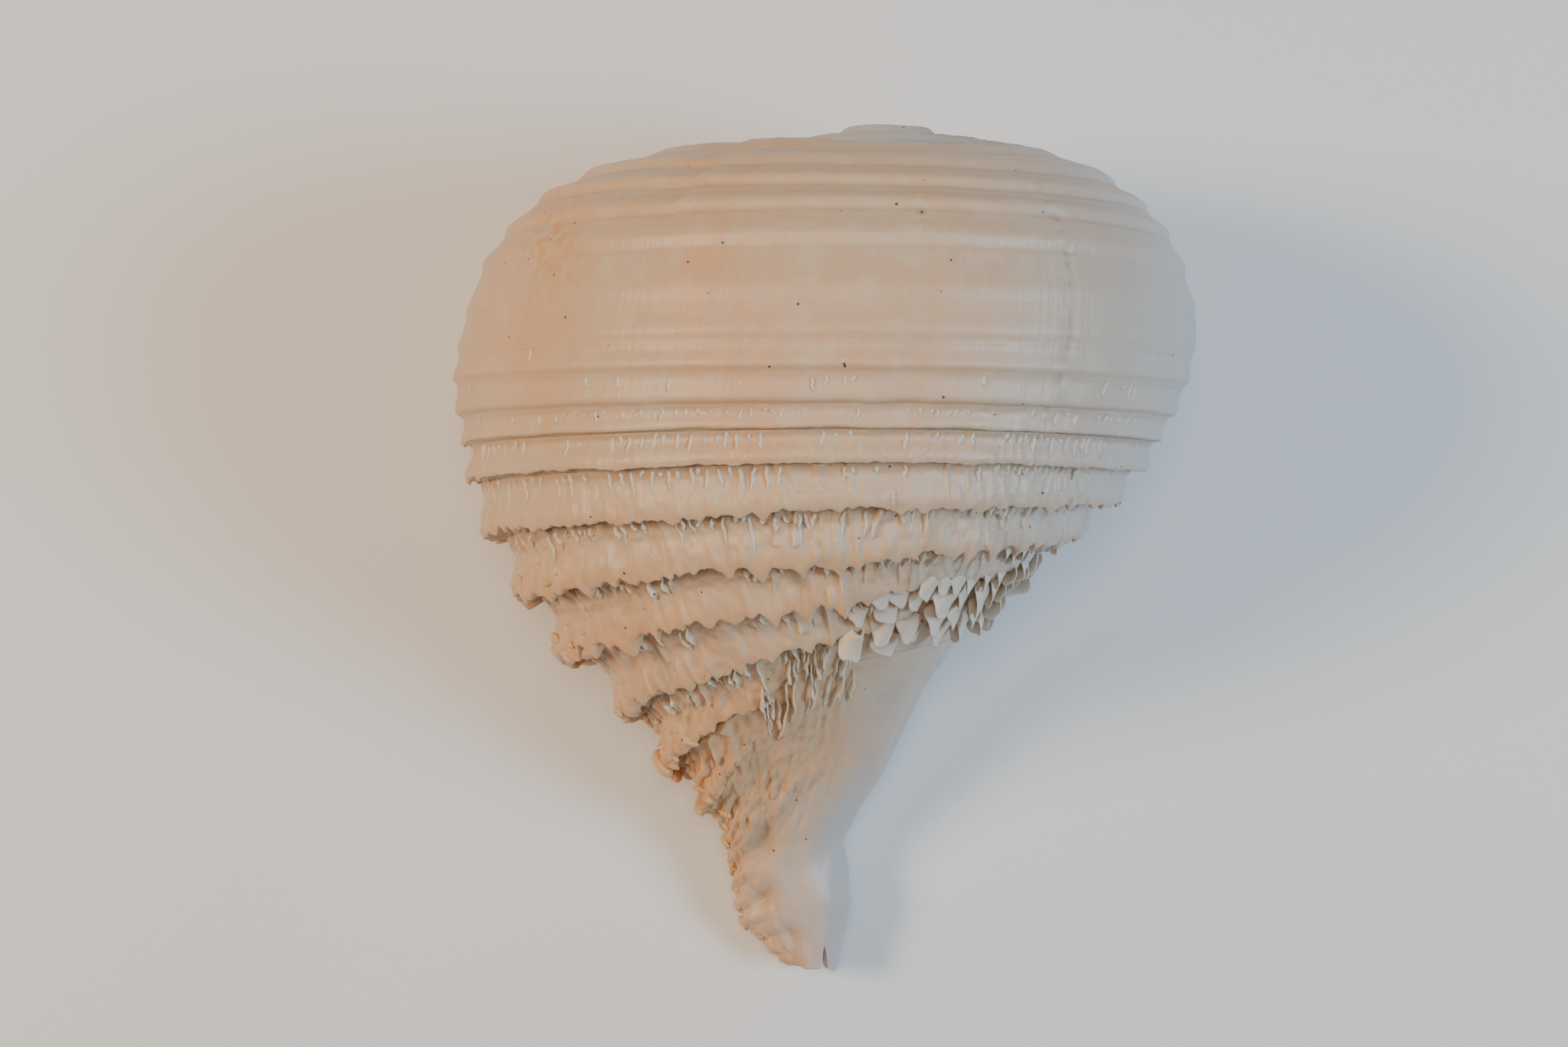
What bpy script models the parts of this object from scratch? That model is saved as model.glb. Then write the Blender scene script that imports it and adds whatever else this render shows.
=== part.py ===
import bpy
import bmesh
import numpy as np
from mathutils import Matrix, Vector

MM = 0.001

# The shell lies on its aperture: x to the lip or away from it, y along the coil axis, z up.
# Millimetres from the tip of the canal as seen and from the coil axis.
SIGHT = 222.0
SIGHT_X, SIGHT_Y = -8.0, 38.5
GROWTH = 0.0896
BACK_FLAT, FRONT_FLAT = 0.93, 0.88
APEX_Y = 71.0
SPIRE_Y = 72.0
TABLE_Z = -20.4
WALL = 1.25
LIP_ANGLE = 218.0
CAVITY_START, CAVITY_END = 78.0, 142.0
VOXEL = 0.48
TRIANGLES = 9700

# Spiral lines from the suture to the canal tip: seen right edge x and y, seen y on the back,
# seen left edge x and y, then the centre of the section in x and z.
LINES = [
    (5.6, 70.7, 70.1, -5.9, 70.7, 0.2, 0.0),
    (9.5, 70.4, 70.6, -12.3, 70.6, 0.2, 0.0),
    (15.9, 69.0, 70.1, -20.8, 69.4, 0.2, 0.0),
    (20.3, 66.4, 68.8, -26.2, 67.5, 0.2, 0.0),
    (22.6, 64.3, 67.1, -29.5, 65.6, 0.2, 0.0),
    (24.3, 61.9, 65.1, -32.3, 62.7, 0.2, 0.0),
    (25.5, 59.0, 61.9, -34.1, 59.7, 0.1, 0.0),
    (26.3, 55.1, 56.6, -35.6, 55.2, -0.1, 0.0),
    (25.2, 49.9, 51.2, -36.1, 50.3, -0.8, 0.0),
    (22.7, 45.5, 46.5, -34.9, 45.2, -1.7, 0.0),
    (21.0, 43.4, 43.7, -33.8, 42.0, -2.2, 0.0),
    (18.5, 41.2, 40.0, -31.6, 37.4, -2.4, -0.3),
    (15.2, 38.7, 36.0, -28.5, 32.6, -2.6, -1.0),
    (11.4, 35.9, 32.5, -24.3, 27.7, -2.8, -2.2),
    (9.2, 33.0, 29.5, -19.3, 22.8, -2.8, -4.0),
    (7.2, 29.8, 26.5, -16.1, 18.6, -3.2, -6.8),
    (4.6, 25.5, 22.5, -13.6, 14.6, -4.4, -10.5),
    (1.6, 19.5, 17.0, -12.5, 11.0, -5.4, -14.0),
    (-2.8, 12.5, 10.5, -12.0, 7.5, -6.9, -16.4),
    (-2.3, 7.0, 5.5, -10.5, 4.2, -6.0, -17.0),
    (-3.1, 1.4, 0.7, -7.6, 1.1, -5.2, -16.8),
]
LAST = len(LINES) - 1

# The cords end in grooves on these lines, each as deep as its height in millimetres.
GROOVES = [0.2, 1.1, 2.0, 3.0, 4.0, 5.0, 6.0, 6.9, 7.5, 8.0, 8.55, 9.0, 10.0, 11.0, 12.0, 13.0, 14.0, 15.0, 16.0]
HEIGHTS = [0.3, 0.4, 0.5, 0.6, 0.65, 0.6, 0.55, 0.3, 0.3, 0.5, 0.6, 0.75, 1.15, 1.5, 1.75, 1.8, 1.7, 1.3, 0.8]

# The pillar inside, from the earlier whorls to the canal: x, y, z and radius.
PILLAR = [(1.5, 45.0, -5.0, 8.0), (2.6, 36.5, -8.5, 6.6), (1.9, 30.0, -11.5, 5.2),
          (0.2, 23.0, -14.5, 3.9), (-2.2, 15.5, -17.6, 2.4), (-3.4, 9.0, -18.6, 1.3)]


def clear_scene():
    """Leaves the startup scene empty."""
    for thing in list(bpy.data.objects):
        bpy.data.objects.remove(thing)


def make_collection(name, hidden=False):
    """A collection linked to the scene."""
    made = bpy.data.collections.new(name)
    bpy.context.scene.collection.children.link(made)
    made.hide_render = hidden
    return made


def move_to(thing, collection):
    """Puts an object in one collection only."""
    for old in list(thing.users_collection):
        old.objects.unlink(thing)
    collection.objects.link(thing)


def smooth(low, high, value):
    """0 below low, 1 above high, and an eased ramp between."""
    t = np.clip((np.asarray(value, float) - low) / (high - low), 0, 1)
    return t * t * (3 - 2 * t)


def through(points, at):
    """A smooth curve through the points, one whole step of at apart."""
    points = np.asarray(points, float)
    at = np.clip(np.asarray(at, float), 0, len(points) - 1 - 1e-9)
    step = np.floor(at).astype(int)
    f = (at - step).reshape(at.shape + (1,) * (points.ndim - 1))
    ends = np.concatenate([2 * points[:1] - points[1:2], points, 2 * points[-1:] - points[-2:-1]])
    a, b, c, d = ends[step], ends[step + 1], ends[step + 2], ends[step + 3]
    return 0.5 * (2 * b + (c - a) * f + (2 * a - 5 * b + 4 * c - d) * f**2 + (3 * b - a - 3 * c + d) * f**3)


def sight(seen, towards, z):
    """The true place of a point seen at this place that lies at height z, the eye above towards."""
    return towards + (seen - towards) * (SIGHT - z) / SIGHT


def section_table():
    """For each line: the log radius and the y at the right, on the back and at the left, and the centre."""
    table = []
    for right, right_y, back_y, left, left_y, x, z in LINES:
        near = [right - x, x - left]
        near = [r * (1 - 0.5 * (r / SIGHT) ** 2) * (SIGHT - z) / SIGHT for r in near]
        back = np.sqrt(near[0] * near[1])
        radii = [near[0], back, near[1]]
        ys = [sight(right_y, SIGHT_Y, z + near[0] ** 2 / SIGHT), sight(back_y, SIGHT_Y, z + BACK_FLAT * back),
              sight(left_y, SIGHT_Y, z + near[1] ** 2 / SIGHT)]
        table.append(list(np.log(radii)) + ys + [sight(x, SIGHT_X, z), z])
    return np.array(table)


TABLE = section_table()


def spiral(line, turn):
    """Radius and y of a spiral line at a turn in degrees: 0 right, 90 back, 180 left, below 0 the turn before."""
    line, turn = np.broadcast_arrays(np.asarray(line, float), np.asarray(turn, float))
    row = through(TABLE, line)
    quarter = GROWTH * np.pi / 2
    keys_r = [row[..., 0] + quarter * k for k in (-5, -4, -3, -2, -1)]
    keys_r += [row[..., 0], row[..., 1], row[..., 2], row[..., 2] + quarter]
    keys_y = [APEX_Y + (row[..., 3] - APEX_Y) * np.exp(quarter * k) for k in (-5, -4, -3, -2, -1)]
    keys_y += [row[..., 3], row[..., 4], row[..., 5], 1.6 * row[..., 5] - 0.6 * row[..., 4]]
    keys = np.stack([np.stack(keys_r), np.stack(keys_y)], -1)
    at = np.clip(turn / 90 + 5, 1, 8 - 1e-9)
    step = np.minimum(np.floor(at).astype(int), 7)
    f = (at - step)[..., None]
    ends = np.concatenate([keys, 2 * keys[-1:] - keys[-2:-1]])
    a, b, c, d = (np.take_along_axis(ends, (step + k)[None, ..., None], 0)[0] for k in (-1, 0, 1, 2))
    value = 0.5 * (2 * b + (c - a) * f + (2 * a - 5 * b + 4 * c - d) * f**2 + (3 * b - a - 3 * c + d) * f**3)
    return np.exp(value[..., 0]), value[..., 1], row[..., 6], row[..., 7]


def skin(line, turn, angle=None):
    """Points of the smooth whorl: on a line at a turn, set round the axis at an angle, the turn itself if none."""
    radius, y, x, z = spiral(line, turn)
    angle = np.radians(turn if angle is None else angle)
    flat = np.where(np.sin(angle) > 0, BACK_FLAT, FRONT_FLAT)
    return np.stack([x + radius * np.cos(angle), y + 0 * angle, z + radius * np.sin(angle) * flat], -1)


def outward(line, turn, angle=None):
    """Unit normals of the smooth whorl, away from the axis."""
    offset = 0 if angle is None else angle - turn
    down = skin(line + 0.05, turn, turn + offset) - skin(line - 0.05, turn, turn + offset)
    around = skin(line, turn + 0.5, turn + offset + 0.5) - skin(line, turn - 0.5, turn + offset - 0.5)
    normal = np.cross(around, down)
    return normal / np.maximum(np.linalg.norm(normal, axis=-1, keepdims=True), 1e-9)


def cords(line, turn):
    """Height of the cords: each rises slowly from a groove to a crest that hangs over the next groove."""
    line, turn = np.broadcast_arrays(np.asarray(line, float), np.asarray(turn, float))
    grooves, heights = np.array(GROOVES), np.array(HEIGHTS)
    index = np.clip(np.searchsorted(grooves, line) - 1, 0, len(grooves) - 2)
    t = np.clip((line - grooves[index]) / (grooves[index + 1] - grooves[index]), 0, 1)
    height = heights[index + 1]
    low = smooth(9.0, 13.0, line)
    rise = smooth(0.0, 0.4 + 0.35 * low, t) * (1 - smooth(0.82, 1.0, t))
    pitch = 8.5 - 1.2 * np.clip(line - 10, 0, 5)
    teeth = 0.72 + 0.28 * np.cos(2 * np.pi * turn / pitch + 2.4 * index)
    inside = (line > grooves[0]) & (line < grooves[-1])
    scaly = (1 - smooth(13.5, 15.5, line) * (1 - smooth(70, 115, turn)))
    return height * rise * (1 + low * (teeth - 1)) * inside * scaly


def crown(line, turn):
    """Vaulted scales in rows low on the right of the back, where the old canal ends pile up."""
    rows = np.abs(((line - 11.6) % 1.0) - 0.5) * 2
    tooth = np.cos(2 * np.pi * (turn / 11.0 + 0.37 * np.floor(line - 11.6)))
    place = smooth(11.2, 11.8, line) * (1 - smooth(14.4, 15.2, line)) * smooth(-40, -20, turn) * (1 - smooth(48, 70, turn))
    return 1.5 * place * smooth(-0.2, 0.8, tooth) * (1 - smooth(0.35, 0.9, rows))


def relief(line, turn):
    """All the raised work on the outside."""
    return cords(line, turn) + crown(line, turn)


def shape(thing, formula):
    """Moves every vertex of an object by a formula of its first place, in millimetres."""
    mesh = thing.data
    at = np.empty(len(mesh.vertices) * 3)
    mesh.vertices.foreach_get("co", at)
    new = formula(at.reshape(-1, 3)) * MM
    mesh.vertices.foreach_set("co", new.ravel())
    mesh.update()


def lip_turn(line):
    """The turn at which the outer lip or the rim of the canal ends."""
    return LIP_ANGLE + 4 * smooth(11, 14, line) + 17 * smooth(14, 18, line) - 3 * (1 - smooth(1, 5, line))


def wall_points(at):
    """The outer whorl and the canal from a flat grid: across is the turn, along is the line."""
    line = np.clip((at[:, 1] + 1) / 2, 0, 1) * (LAST - 0.05) + 0.05
    first = -12 - 46 * smooth(12.5, 17.5, line)
    turn = first + (lip_turn(line) - first) * (at[:, 0] + 1) / 2
    edge = smooth(195, 219, turn) * smooth(8.5, 11, line) * (1 - smooth(15.5, 17, line))
    raised = relief(line, turn) * (1 + 0.7 * edge)
    inner = at[:, 2] < -0.5
    off = np.where(inner, 0.25 * cords(line, turn) - WALL, raised)
    return skin(line, turn) + outward(line, turn) * off[:, None]


def core_points(at):
    """The whorls inside, filled: a ball whose girdle follows the spiral one turn back behind the lip."""
    polar = np.arccos(np.clip(at[:, 2] / np.linalg.norm(at, axis=1), -1, 1)) / np.pi
    angle = np.degrees(np.arctan2(at[:, 1], at[:, 0]))
    angle = np.where(angle < LIP_ANGLE - 360, angle + 360, angle)
    turn = np.where(angle > 0, angle - 360 * smooth(CAVITY_START, CAVITY_END, angle), angle)
    line = np.clip(-2.6 + 16.4 * polar, 0, 12.9)
    points = skin(line, turn, angle) + outward(line, turn, angle) * relief(line, turn)[:, None]
    radius, y, x, z = spiral(line, turn)
    top = np.clip(16.4 * polar / 2.6, 0, 1)
    drum = smooth(0.5, 1.0, top)
    spire = np.stack([x + (points[:, 0] - x) * top**0.5, SPIRE_Y + (points[:, 1] - SPIRE_Y) * drum,
                      z + (points[:, 2] - z) * top**0.5], -1)
    points = np.where(top[:, None] < 1, spire, points)
    closing = smooth(12.9, 13.8, -2.6 + 16.4 * polar)[:, None]
    return points + (np.stack([x, y, z], -1) - points) * closing


def pillar_points(at):
    """The pillar from the earlier whorls into the canal, from a ball drawn out along its line."""
    polar = np.arccos(np.clip(at[:, 2] / np.linalg.norm(at, axis=1), -1, 1)) / np.pi
    angle = np.arctan2(at[:, 1], at[:, 0])
    row = through(PILLAR, polar * (len(PILLAR) - 1))
    radius = row[:, 3] * np.sqrt(np.clip(1 - (2 * polar - 1) ** 8, 0, 1))
    return np.stack([row[:, 0] + radius * np.cos(angle), row[:, 1] + 0 * radius, row[:, 2] + radius * np.sin(angle)], -1)


def make_wall():
    """The thin outer wall, open along the lip and under the canal."""
    bpy.ops.mesh.primitive_grid_add(x_subdivisions=220, y_subdivisions=420, size=2)
    wall = bpy.context.object
    thick = wall.modifiers.new("thickness", "SOLIDIFY")
    thick.thickness = 1
    thick.offset = -1
    apply_all(wall)
    shape(wall, wall_points)
    return wall


def make_ball(formula, around, rings):
    """A ball shaped by a formula."""
    bpy.ops.mesh.primitive_uv_sphere_add(segments=around, ring_count=rings, radius=1)
    ball = bpy.context.object
    shape(ball, formula)
    return ball


def face_out(thing):
    """Turns all the faces of a closed mesh outwards."""
    work = bmesh.new()
    work.from_mesh(thing.data)
    bmesh.ops.recalc_face_normals(work, faces=work.faces)
    if work.calc_volume(signed=True) < 0:
        bmesh.ops.reverse_faces(work, faces=work.faces)
    work.to_mesh(thing.data)
    work.free()


def apply_all(thing):
    """Makes an object's modifiers part of its mesh."""
    bpy.ops.object.select_all(action="DESELECT")
    thing.select_set(True)
    bpy.context.view_layer.objects.active = thing
    for modifier in list(thing.modifiers):
        bpy.ops.object.modifier_apply(modifier=modifier.name)


def fuse(things):
    """Joins overlapping closed bodies into one skin."""
    for thing in things:
        apply_all(thing)
        face_out(thing)
    bpy.ops.object.select_all(action="DESELECT")
    for thing in things:
        thing.select_set(True)
    bpy.context.view_layer.objects.active = things[0]
    bpy.ops.object.join()
    whole = bpy.context.object
    remesh = whole.modifiers.new("one skin", "REMESH")
    remesh.mode = "VOXEL"
    remesh.voxel_size = VOXEL * MM
    remesh.adaptivity = 0
    apply_all(whole)
    return whole


def rest_on_table(whole, cutters):
    """Takes off what lies under the table plane, so the lip, the whorl and the canal rest on it."""
    bpy.ops.mesh.primitive_cube_add(size=1)
    block = bpy.context.object
    block.name = "under_table"
    block.scale = Vector((120, 140, 20)) * MM
    block.location = Vector((0, 35, TABLE_Z - 10)) * MM
    move_to(block, cutters)
    block.hide_render = True
    cut = whole.modifiers.new("table", "BOOLEAN")
    cut.operation = "DIFFERENCE"
    cut.solver = "EXACT"
    cut.object = block
    apply_all(whole)
    bpy.data.objects.remove(block)


def lighten(whole):
    """Cuts the triangle count, keeps the largest closed piece and sets the origin under the middle."""
    fewer = whole.modifiers.new("fewer", "DECIMATE")
    faces = sum(len(p.vertices) - 2 for p in whole.data.polygons)
    fewer.ratio = TRIANGLES / faces
    fewer.use_collapse_triangulate = True
    apply_all(whole)
    work = bmesh.new()
    work.from_mesh(whole.data)
    low = Vector([min(v.co[k] for v in work.verts) for k in range(3)])
    high = Vector([max(v.co[k] for v in work.verts) for k in range(3)])
    work.transform(Matrix.Translation(-Vector(((low.x + high.x) / 2, (low.y + high.y) / 2, low.z))))
    work.to_mesh(whole.data)
    work.free()
    print("moved by", [round(v / MM, 3) for v in ((low.x + high.x) / 2, (low.y + high.y) / 2, low.z)])


def shell_material():
    """Dry porcellaneous aragonite, ivory."""
    material = bpy.data.materials.new("aragonite_ivory")
    material.use_nodes = True
    surface = material.node_tree.nodes["Principled BSDF"]
    surface.inputs["Base Color"].default_value = (0.66, 0.57, 0.46, 1)
    surface.inputs["Roughness"].default_value = 0.42
    surface.inputs["Specular IOR Level"].default_value = 0.5
    return material


def main():
    clear_scene()
    body = make_collection("papery_rapa_shell")
    cutters = make_collection("cutters", hidden=True)
    wall = make_wall()
    core = make_ball(core_points, 180, 150)
    pillar = make_ball(pillar_points, 48, 40)
    shell = fuse([wall, core, pillar])
    rest_on_table(shell, cutters)
    lighten(shell)
    shell.name = shell.data.name = "shell"
    shell.data.materials.clear()
    shell.data.materials.append(shell_material())
    move_to(shell, body)


main()
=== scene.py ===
"""Papery rapa shell, lying on its aperture: a thin ribbed whorl, scaly base and curved canal."""

import bpy
import numpy as np
from bpy.props import FloatProperty, FloatVectorProperty, IntProperty, PointerProperty
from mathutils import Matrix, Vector


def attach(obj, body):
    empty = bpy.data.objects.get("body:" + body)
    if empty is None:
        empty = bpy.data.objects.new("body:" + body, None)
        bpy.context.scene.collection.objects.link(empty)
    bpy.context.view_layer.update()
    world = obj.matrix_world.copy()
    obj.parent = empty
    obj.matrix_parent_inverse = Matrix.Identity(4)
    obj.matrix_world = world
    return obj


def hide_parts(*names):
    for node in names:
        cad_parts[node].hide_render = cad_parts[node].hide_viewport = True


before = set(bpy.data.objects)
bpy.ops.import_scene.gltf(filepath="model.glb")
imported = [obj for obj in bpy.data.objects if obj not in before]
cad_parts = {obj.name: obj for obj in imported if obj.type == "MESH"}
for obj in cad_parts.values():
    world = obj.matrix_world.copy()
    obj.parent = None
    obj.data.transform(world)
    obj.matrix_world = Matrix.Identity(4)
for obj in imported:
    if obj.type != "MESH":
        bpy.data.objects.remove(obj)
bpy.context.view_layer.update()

bl_info = {
    "name": "Papery Rapa Shell",
    "version": (1, 0, 0),
    "blender": (4, 5, 0),
    "location": "View3D > Sidebar > Shell",
    "description": "Builds a dry papery rapa shell with its ribs, growth frills and vaulted scales",
    "category": "Add Mesh",
}

MM = 0.001

# In millimetres: the eye's height and place over the coil axis, the picture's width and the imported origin.
SIGHT, SIGHT_X, SIGHT_Y = 222.0, -8.0, 38.5
FRAME_WIDTH, SENSOR_WIDTH = 132.9, 36
ORIGIN = np.array([-4.939, 34.966, -20.402])

# The spiral's growth per radian, its height over its width behind and in front, and y of apex and spire.
GROWTH = 0.0896
BACK_FLAT, FRONT_FLAT = 0.93, 0.88
APEX_Y, SPIRE_Y = 71.0, 72.0

# Turns in degrees: the lip, just before it, the hollow's end, a mended break and the tip's notch; a radian.
LIP_ANGLE, NEAR_LIP, CAVITY_END, REPAIR_TURN, NOTCH_TURN = 218.0, 216.0, 62.0, 124.0, 73.0
RADIAN = 57.3

# Lines from suture to canal tip, as seen: right x and y, back y, left x and y; then the centre's x and z.
LINES = [
    (5.6, 70.7, 70.1, -5.9, 70.7, 0.2, 0.0),
    (9.5, 70.4, 70.6, -12.3, 70.6, 0.2, 0.0),
    (15.9, 69.0, 70.1, -20.8, 69.4, 0.2, 0.0),
    (20.3, 66.4, 68.8, -26.2, 67.5, 0.2, 0.0),
    (22.6, 64.3, 67.1, -29.5, 65.6, 0.2, 0.0),
    (24.3, 61.9, 65.1, -32.3, 62.7, 0.2, 0.0),
    (25.5, 59.0, 61.9, -34.1, 59.7, 0.1, 0.0),
    (26.3, 55.1, 56.6, -35.6, 55.2, -0.1, 0.0),
    (25.2, 49.9, 51.2, -36.1, 50.3, -0.8, 0.0),
    (22.7, 45.5, 46.5, -34.9, 45.2, -1.7, 0.0),
    (21.0, 43.4, 43.7, -33.8, 42.0, -2.2, 0.0),
    (18.5, 41.2, 40.0, -31.6, 37.4, -2.4, -0.3),
    (15.2, 38.7, 36.0, -28.5, 32.6, -2.6, -1.0),
    (11.4, 35.9, 32.5, -24.3, 27.7, -2.8, -2.2),
    (9.2, 33.0, 29.5, -19.3, 22.8, -2.8, -4.0),
    (7.2, 29.8, 26.5, -16.1, 18.6, -3.2, -6.8),
    (4.6, 25.5, 22.5, -13.6, 14.6, -4.4, -10.5),
    (1.6, 19.5, 17.0, -12.5, 11.0, -5.4, -14.0),
    (-2.8, 12.5, 10.5, -12.0, 7.5, -6.9, -16.4),
    (-2.3, 7.0, 5.5, -10.5, 4.2, -6.0, -17.0),
    (-3.1, 1.4, 0.7, -7.6, 1.1, -5.2, -16.8),
]
LAST = len(LINES) - 1

# The inner whorls from pole to pole: lines in the spire, lines in all, and the last line on the spiral.
SPIRE_LINES, BALL_LINES, LAST_INNER = 2.6, 16.4, 12.9

# The cords end in grooves on these lines, each as deep as its height in millimetres.
GROOVES = [0.2, 1.1, 2.0, 3.0, 4.0, 5.0, 6.0, 6.9, 7.5, 8.0, 8.55, 9.0, 10.0, 11.0, 12.0, 13.0, 14.0,
           15.0, 16.0]
HEIGHTS = [0.3, 0.4, 0.42, 0.45, 0.45, 0.4, 0.35, 0.14, 0.18, 0.35, 0.45, 0.6, 1.05, 1.4, 1.65, 1.7, 1.5,
           1.2, 0.8]

# The pillar inside, from the earlier whorls to the canal: x, y, z and radius.
PILLAR = [(1.5, 45.0, -5.0, 8.0), (2.6, 36.5, -8.5, 6.6), (1.9, 30.0, -11.5, 5.2),
          (0.2, 23.0, -14.5, 3.9), (-2.2, 15.5, -17.6, 2.4), (-3.4, 9.0, -18.6, 1.3)]

# Growth cracks down the whorl: turn, first line, last line, depth.
CRACKS = [(61.5, 3.3, 8.9, 0.16), (85.5, 4.2, 5.9, 0.12), (79.0, 5.0, 5.7, 0.08), (75.5, 5.9, 6.8, 0.07),
          (60.0, 9.0, 10.6, 0.14), (73.0, 8.0, 9.2, 0.07), (66.0, 8.0, 9.4, 0.06)]

# Rows of vaulted scales: line, first and last turn, pitch in millimetres and size over that of a full one.
SCALE_ROWS = [(11.9, 4, 40, 1.2, 0.40), (12.35, 2, 50, 1.3, 0.52), (12.85, 0, 84, 1.8, 0.80),
              (13.35, -4, 92, 2.2, 1.0), (13.85, -6, 94, 2.4, 1.12), (14.35, -6, 84, 2.7, 1.05)]

# The first groove with frills, the share of places with one there and below, and how many are on the neck.
FIRST_FRILL, FRILL_SHARE, NECK_FRILLS = 8, (0.12, 0.3, 0.7, 1), 46

# Two knobs on each cord: how far down it from and to, the turn further on, and the size from and to.
KNOBS = [(0.70, 0.84, 0, 0.7, 1.25), (0.52, 0.74, 3.5, 0.45, 0.75)]

# Middle of the ochre stain from the coil axis, in millimetres.
STAIN = (-26.5, 61.0)

# Pits on the canal: line, turn, spread along and round, and depth in millimetres.
PITS = [(17.65, 128, 0.35, 19, 1.0), (18.5, 138, 0.22, 18, 0.7), (19.4, 120, 0.2, 14, 0.5)]


def hex_colour(text):
    """Linear colour of an sRGB hex code."""
    parts = [int(text[i:i + 2], 16) / 255 for i in (1, 3, 5)]
    return tuple(p / 12.92 if p <= 0.04045 else ((p + 0.055) / 1.055) ** 2.4 for p in parts)


def smooth(low, high, value):
    """0 below low, 1 above high, and an eased ramp between."""
    t = np.clip((np.asarray(value, float) - low) / (high - low), 0, 1)
    return t * t * (3 - 2 * t)


def grain(across, along, seed):
    """Smooth random values from 0 to 1 on a plane, one new value per unit."""
    table = np.random.RandomState(seed).rand(128, 128)
    i, j = np.floor(across).astype(int), np.floor(along).astype(int)
    f, g = across - i, along - j
    f, g = f * f * (3 - 2 * f), g * g * (3 - 2 * g)
    near = table[i % 128, j % 128] * (1 - g) + table[i % 128, (j + 1) % 128] * g
    far = table[(i + 1) % 128, j % 128] * (1 - g) + table[(i + 1) % 128, (j + 1) % 128] * g
    return near * (1 - f) + far * f


def through(points, at):
    """A smooth curve through the points, one whole step of at apart."""
    points = np.asarray(points, float)
    at = np.clip(np.asarray(at, float), 0, len(points) - 1 - 1e-9)
    step = np.floor(at).astype(int)
    f = (at - step).reshape(at.shape + (1,) * (points.ndim - 1))
    ends = np.concatenate([2 * points[:1] - points[1:2], points, 2 * points[-1:] - points[-2:-1]])
    a, b, c, d = ends[step], ends[step + 1], ends[step + 2], ends[step + 3]
    return 0.5 * (2 * b + (c - a) * f + (2 * a - 5 * b + 4 * c - d) * f**2 + (3 * b - a - 3 * c + d) * f**3)


def sight(seen, towards, z):
    """The true place of a point seen at this place that lies at height z, the eye above towards."""
    return towards + (seen - towards) * (SIGHT - z) / SIGHT


def section_table():
    """For each line: the log radius and the y at the right, on the back and at the left, and the centre."""
    table = []
    for right, right_y, back_y, left, left_y, x, z in LINES:
        near = [right - x, x - left]
        near = [r * (1 - 0.5 * (r / SIGHT) ** 2) * (SIGHT - z) / SIGHT for r in near]
        back = np.sqrt(near[0] * near[1])
        radii = [near[0], back, near[1]]
        ys = [sight(right_y, SIGHT_Y, z + near[0] ** 2 / SIGHT), sight(back_y, SIGHT_Y, z + BACK_FLAT * back),
              sight(left_y, SIGHT_Y, z + near[1] ** 2 / SIGHT)]
        table.append(list(np.log(radii)) + ys + [sight(x, SIGHT_X, z), z])
    return np.array(table)


TABLE = section_table()


def spiral(line, turn):
    """Radius, y and centre of a line at a turn in degrees: 0 right, 90 back, 180 left, below 0 further in."""
    line, turn = np.broadcast_arrays(np.asarray(line, float), np.asarray(turn, float))
    row = through(TABLE, line)
    quarter = GROWTH * np.pi / 2
    keys_r = [row[..., 0] + quarter * k for k in (-5, -4, -3, -2, -1)]
    keys_r += [row[..., 0], row[..., 1], row[..., 2], row[..., 2] + quarter]
    keys_y = [APEX_Y + (row[..., 3] - APEX_Y) * np.exp(quarter * k) for k in (-5, -4, -3, -2, -1)]
    keys_y += [row[..., 3], row[..., 4], row[..., 5], 1.6 * row[..., 5] - 0.6 * row[..., 4]]
    keys = np.stack([np.stack(keys_r), np.stack(keys_y)], -1)
    at = np.clip(turn / 90 + 5, 1, 8 - 1e-9)
    step = np.minimum(np.floor(at).astype(int), 7)
    f = (at - step)[..., None]
    ends = np.concatenate([keys, 2 * keys[-1:] - keys[-2:-1]])
    a, b, c, d = (np.take_along_axis(ends, (step + k)[None, ..., None], 0)[0] for k in (-1, 0, 1, 2))
    value = 0.5 * (2 * b + (c - a) * f + (2 * a - 5 * b + 4 * c - d) * f**2 + (3 * b - a - 3 * c + d) * f**3)
    return np.exp(value[..., 0]), value[..., 1], row[..., 6], row[..., 7]


def skin(line, turn, angle=None):
    """Points of the smooth whorl on a line at a turn, set round the axis at an angle, else at the turn."""
    radius, y, x, z = spiral(line, turn)
    angle = np.radians(turn if angle is None else angle)
    flat = np.where(np.sin(angle) > 0, BACK_FLAT, FRONT_FLAT)
    return np.stack([x + radius * np.cos(angle), y + 0 * angle, z + radius * np.sin(angle) * flat], -1)


def directions(line, turn, angle=None):
    """Unit vectors out of the smooth whorl and down it, towards the canal."""
    offset = 0 if angle is None else angle - turn
    down = skin(line + 0.05, turn, turn + offset) - skin(line - 0.05, turn, turn + offset)
    around = skin(line, turn + 0.5, turn + offset + 0.5) - skin(line, turn - 0.5, turn + offset - 0.5)
    normal = np.cross(around, down)
    normal /= np.maximum(np.linalg.norm(normal, axis=-1, keepdims=True), 1e-9)
    return normal, down / np.maximum(np.linalg.norm(down, axis=-1, keepdims=True), 1e-9)


def lip_turn(line):
    """The turn at which the outer lip or the rim of the canal ends."""
    return LIP_ANGLE + 4 * smooth(11, 14, line) + 17 * smooth(14, 18, line) - 3 * (1 - smooth(1, 5, line))


def back_radius(line):
    """Radius of a line on the back, by straight steps between the measured lines."""
    return np.exp(np.interp(line, range(LAST + 1), TABLE[:, 1]))


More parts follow.
